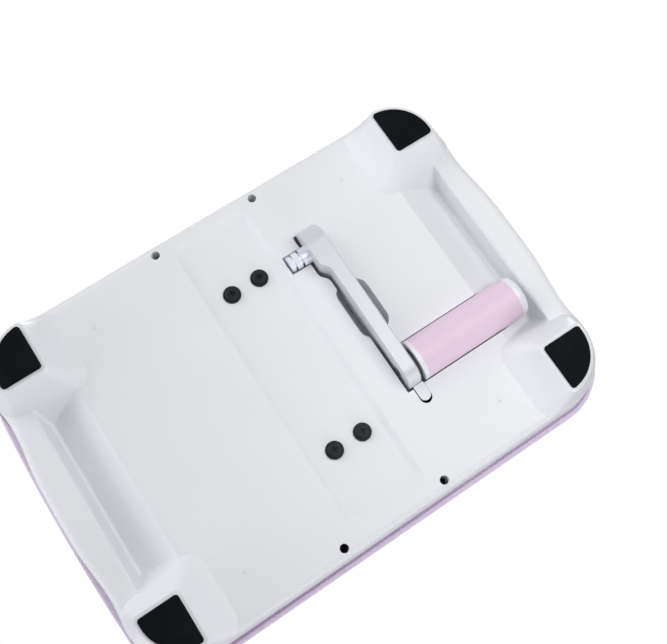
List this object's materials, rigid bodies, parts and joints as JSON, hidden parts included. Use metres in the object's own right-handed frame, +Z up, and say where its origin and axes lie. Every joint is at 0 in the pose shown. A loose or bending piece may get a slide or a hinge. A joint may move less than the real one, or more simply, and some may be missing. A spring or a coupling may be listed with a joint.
{
  "type": "manual die cutting machine",
  "caption": "Hand cranked roller press for cutting dies: tray base on rubber feet, geared rollers in a tower cover, drive socket and a crank stowed underneath.",
  "frame": {"origin": "on the table under the middle of the machine, at the level of the foot pads' undersides", "axes": "+X along the feed path, +Y along the rollers away from the crank socket, +Z up"},
  "size_m": [0.4188, 0.292, 0.1726],
  "materials": {
    "tray_white": "fine moulded satin",
    "deck_lilac": "fine moulded satin",
    "tower_white": "fine moulded satin",
    "trim_lilac": "gloss",
    "pad_rubber": "matte",
    "frame_grey": "satin powder coat",
    "steel": "satin",
    "shaft_steel": "ground",
    "gear_steel": "machined",
    "roller_steel": "ground",
    "stub_steel": "satin",
    "bush_brass": "turned",
    "screw_black": "black satin",
    "arm_silver": "satin silver paint",
    "grip_dark": "matte",
    "grip_white": "gloss",
    "grip_lilac": "satin"
  },
  "bodies": {
    "machine": {"base_tray": "tray_white", "deck_cover": "deck_lilac", "tower_cover": "tower_white", "top_trim": "trim_lilac", "socket_bezel": "trim_lilac", "foot_pad_back_left": "pad_rubber", "foot_pad_back_right": "pad_rubber", "foot_pad_front_left": "pad_rubber", "foot_pad_front_right": "pad_rubber", "side_frame_drive": "frame_grey", "side_frame_idle": "frame_grey", "gear_plate": "frame_grey", "gear_plate_posts": "steel", "tie_bar_left": "steel", "tie_bar_right": "steel", "tie_bolts_idle": "steel", "tie_bolts_drive": "steel", "bush_lower_drive": "bush_brass", "bush_lower_idle": "bush_brass", "bush_upper_drive": "bush_brass", "bush_upper_idle": "bush_brass", "bush_shaft_inner": "bush_brass", "bush_shaft_outer": "bush_brass", "frame_screws": "screw_black", "frame_washers": "screw_black", "side_screws": "steel", "corner_screws": "steel", "tower_screws": "steel", "latch_pin": "steel"},
    "drive_shaft": {"drive_shaft": "shaft_steel", "drive_pinion": "gear_steel", "pinion_key": "steel", "drive_shaft_ring": "steel"},
    "upper_roller": {"upper_roller": "roller_steel", "sync_gear_upper": "gear_steel", "drive_gear": "gear_steel", "upper_roller_keys": "steel", "upper_roller_rings": "steel"},
    "lower_roller": {"lower_roller": "roller_steel", "sync_gear_lower": "gear_steel", "lower_roller_key": "steel", "lower_roller_rings": "steel"},
    "crank": {"crank_arm": "arm_silver", "crank_stub": "stub_steel", "stub_screw": "steel", "grip_axle": "steel", "grip_spacer": "grip_dark"},
    "grip": {"grip_collar": "grip_white", "grip_sleeve": "grip_lilac", "grip_end_cap": "grip_white"},
    "latch": {"latch_tongue": "tray_white"}
  },
  "joints": [
    {"name": "upper_roller_turn", "type": "hinge", "parent": "machine", "child": "upper_roller", "pos_m": [0, 0, 0.106], "axis": [0, 1, 0], "continuous": true},
    {"name": "lower_roller_turn", "type": "hinge", "parent": "machine", "child": "lower_roller", "pos_m": [0, 0, 0.06], "axis": [0, 1, 0], "continuous": true},
    {"name": "drive_shaft_turn", "type": "hinge", "parent": "machine", "child": "drive_shaft", "pos_m": [0, 0, 0.145], "axis": [0, 1, 0], "continuous": true},
    {"name": "crank_lift_out", "type": "slide", "parent": "machine", "child": "crank", "axis": [0, 0, -1], "range_m": [0, 0.048]},
    {"name": "grip_spin", "type": "hinge", "parent": "crank", "child": "grip", "pos_m": [0.12, 0.0464, 0.026], "axis": [1, 0, 0], "continuous": true},
    {"name": "latch_flex", "type": "hinge", "parent": "machine", "child": "latch", "pos_m": [0.068, 0.06915, 0.045], "axis": [1, 0, 0], "range_deg": [0, 3], "stiffness_Nm_per_rad": 0.5}
  ],
  "couplings": [
    {"joint": "lower_roller_turn", "follows": "upper_roller_turn", "ratio": -1},
    {"joint": "drive_shaft_turn", "follows": "upper_roller_turn", "ratio": -2.7143}
  ]
}
